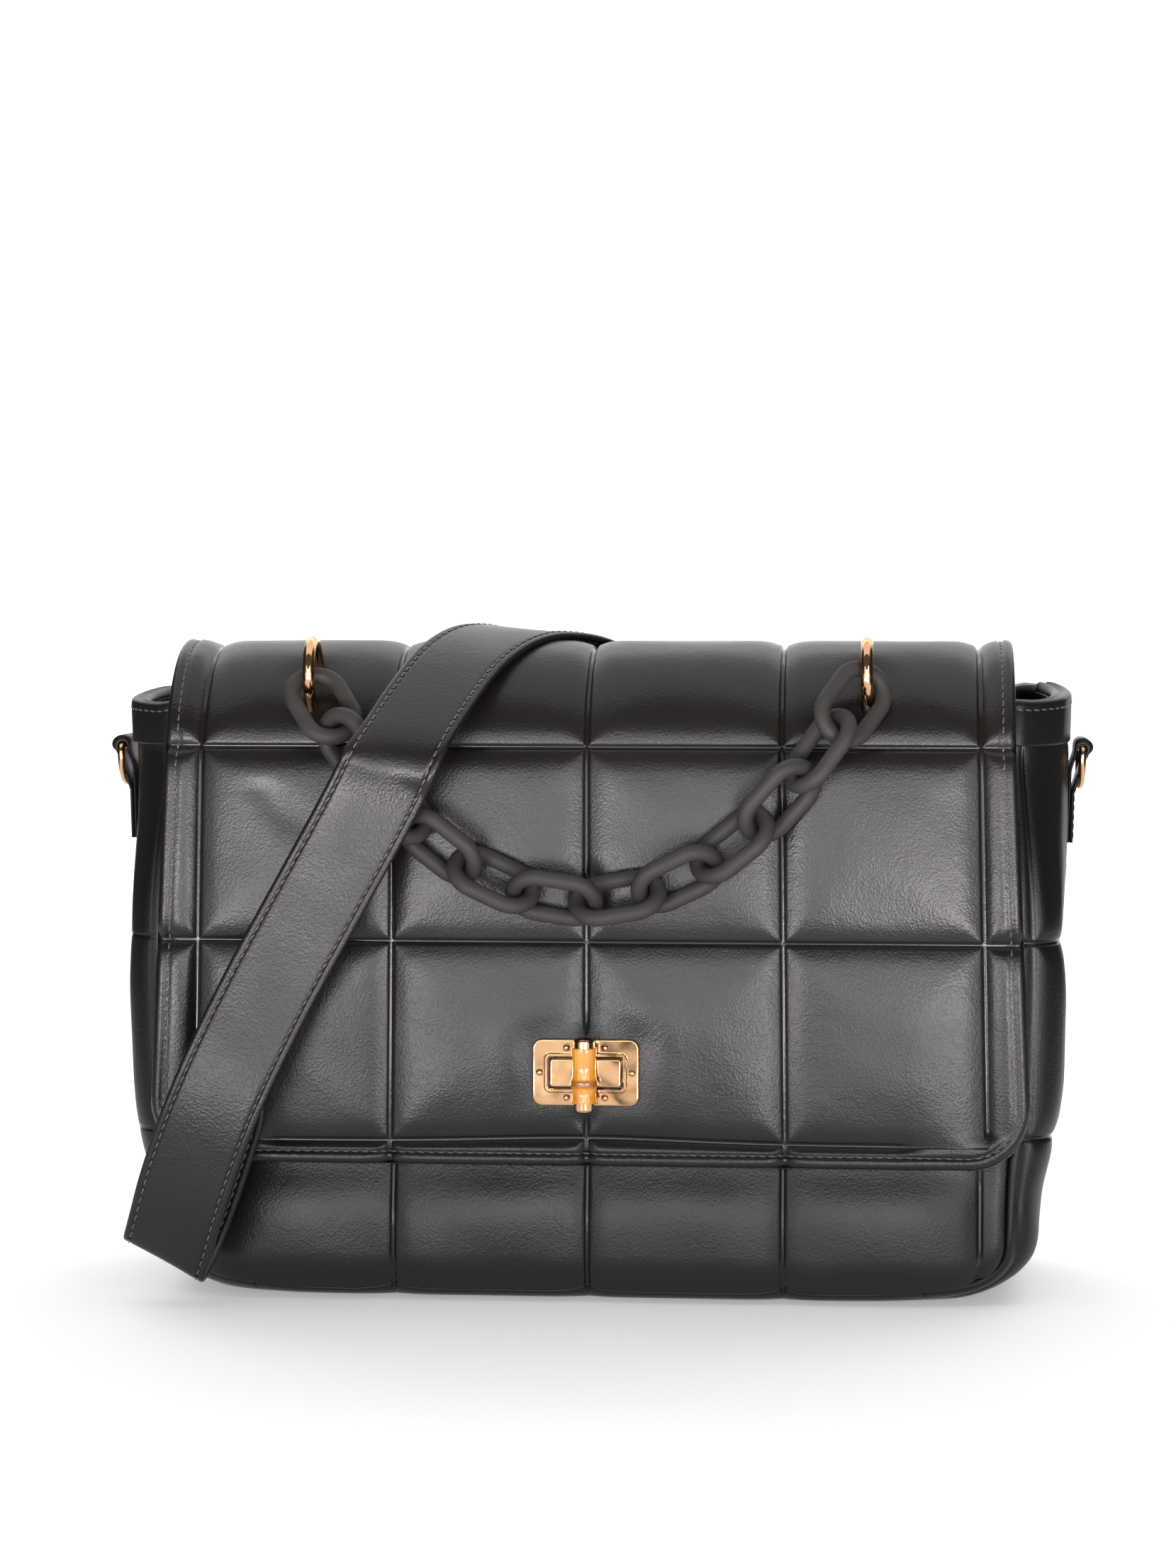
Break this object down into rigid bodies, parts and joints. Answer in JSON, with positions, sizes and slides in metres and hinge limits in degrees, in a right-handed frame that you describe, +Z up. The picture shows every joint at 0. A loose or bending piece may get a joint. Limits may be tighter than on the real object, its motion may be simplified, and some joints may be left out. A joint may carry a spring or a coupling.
{
  "type": "chain shoulder bag",
  "caption": "Quilted flap shoulder bag with a chain handle, a bamboo turn-lock, side D-rings and a detachable shoulder strap draped over its front.",
  "frame": {"origin": "centre of the flat base face the bag stands on", "axes": "+X to the right seen from the front, +Y to the back, +Z up"},
  "size_m": [0.3708, 0.1625, 0.2499],
  "materials": {
    "quilted_leather": "satin black, fine pebble grain, square quilting",
    "smooth_leather": "satin black, fine grain, stitched edges",
    "lining_cloth": "dark woven lining",
    "stiff_board": "plain board",
    "gold_metal": "polished light gold plate",
    "plain_steel": "plain steel, hidden",
    "bamboo_cane": "lacquered honey bamboo",
    "rubber_coat": "matt rubber coat"
  },
  "bodies": {
    "bag": {"front_panel": "quilted_leather", "back_panel": "quilted_leather", "base_panel": "quilted_leather", "left_gusset": "quilted_leather", "right_gusset": "quilted_leather", "rim_binding": "smooth_leather", "lining": "lining_cloth", "base_board": "stiff_board", "lock_base": "gold_metal", "lock_base_backing": "plain_steel", "lock_base_pins": "plain_steel", "left_side_tab": "smooth_leather", "right_side_tab": "smooth_leather", "back_hook_loop": "gold_metal"},
    "flap": {"flap_panel": "quilted_leather", "flap_lining": "lining_cloth", "lock_plate": "gold_metal", "lock_backing": "plain_steel", "lock_rivets": "gold_metal", "left_arch": "gold_metal", "right_arch": "gold_metal", "left_arch_plate": "plain_steel", "right_arch_plate": "plain_steel", "arch_screws": "plain_steel", "shoulder_strap": "smooth_leather", "front_hook_loop": "gold_metal"},
    "toggle": {"toggle_spindle": "gold_metal", "toggle_spring_washer": "plain_steel", "toggle_retainer": "plain_steel", "bamboo_toggle": "bamboo_cane", "toggle_ferrules": "gold_metal"},
    "chain": {"chain_link_01": "rubber_coat", "chain_link_02": "rubber_coat", "chain_link_03": "rubber_coat", "chain_link_04": "rubber_coat", "chain_link_05": "rubber_coat", "chain_link_06": "rubber_coat", "chain_link_07": "rubber_coat", "chain_link_08": "rubber_coat", "chain_link_09": "rubber_coat", "chain_link_10": "rubber_coat", "chain_link_11": "rubber_coat", "chain_link_12": "rubber_coat"},
    "left_ring": {"left_d_ring": "gold_metal"},
    "right_ring": {"right_d_ring": "gold_metal"},
    "front_hook": {"front_hook_claw": "gold_metal"},
    "front_gate": {"front_hook_gate": "gold_metal"},
    "back_hook": {"back_hook_claw": "gold_metal"},
    "back_gate": {"back_hook_gate": "gold_metal"}
  },
  "joints": [
    {"name": "flap_hinge", "type": "hinge", "parent": "bag", "child": "flap", "pos_m": [0, 0.0375, 0.22097], "axis": [-1, 0, 0], "range_deg": [0, 110], "deforming": ["shoulder_strap"]},
    {"name": "toggle_turn", "type": "hinge", "parent": "bag", "child": "toggle", "pos_m": [0, -0.07, 0.086], "axis": [0, 1, 0], "range_deg": [0, 90]},
    {"name": "chain_swing", "type": "hinge", "parent": "flap", "child": "chain", "pos_m": [0, -0.0511, 0.2321], "axis": [-1, 0, 0], "range_deg": [0, 138]},
    {"name": "left_ring_swing", "type": "hinge", "parent": "bag", "child": "left_ring", "pos_m": [-0.18263, 0, 0.20255], "axis": [0, 1, 0], "range_deg": [0, 165]},
    {"name": "right_ring_swing", "type": "hinge", "parent": "bag", "child": "right_ring", "pos_m": [0.18263, 0, 0.20255], "axis": [0, -1, 0], "range_deg": [0, 165]},
    {"name": "front_hook_swivel", "type": "hinge", "parent": "flap", "child": "front_hook", "pos_m": [-0.1217, -0.0732, 0.10319], "axis": [0.3757, -0.0578, 0.9249], "continuous": true},
    {"name": "front_gate_open", "type": "hinge", "parent": "front_hook", "child": "front_gate", "pos_m": [-0.12049, -0.07415, 0.1208], "axis": [0.0254, 0.9983, 0.0521], "range_deg": [0, 32], "stiffness_Nm_per_rad": 0.004, "springref_deg": -20.05},
    {"name": "back_hook_swivel", "type": "hinge", "parent": "bag", "child": "back_hook", "pos_m": [0.10078, 0.06338, 0.07307], "axis": [0.5167, 0.1107, -0.8489], "continuous": true},
    {"name": "back_gate_open", "type": "hinge", "parent": "back_hook", "child": "back_gate", "pos_m": [0.10476, 0.06561, 0.05599], "axis": [0, -0.9916, -0.1293], "range_deg": [0, 32], "stiffness_Nm_per_rad": 0.004, "springref_deg": -20.05}
  ]
}
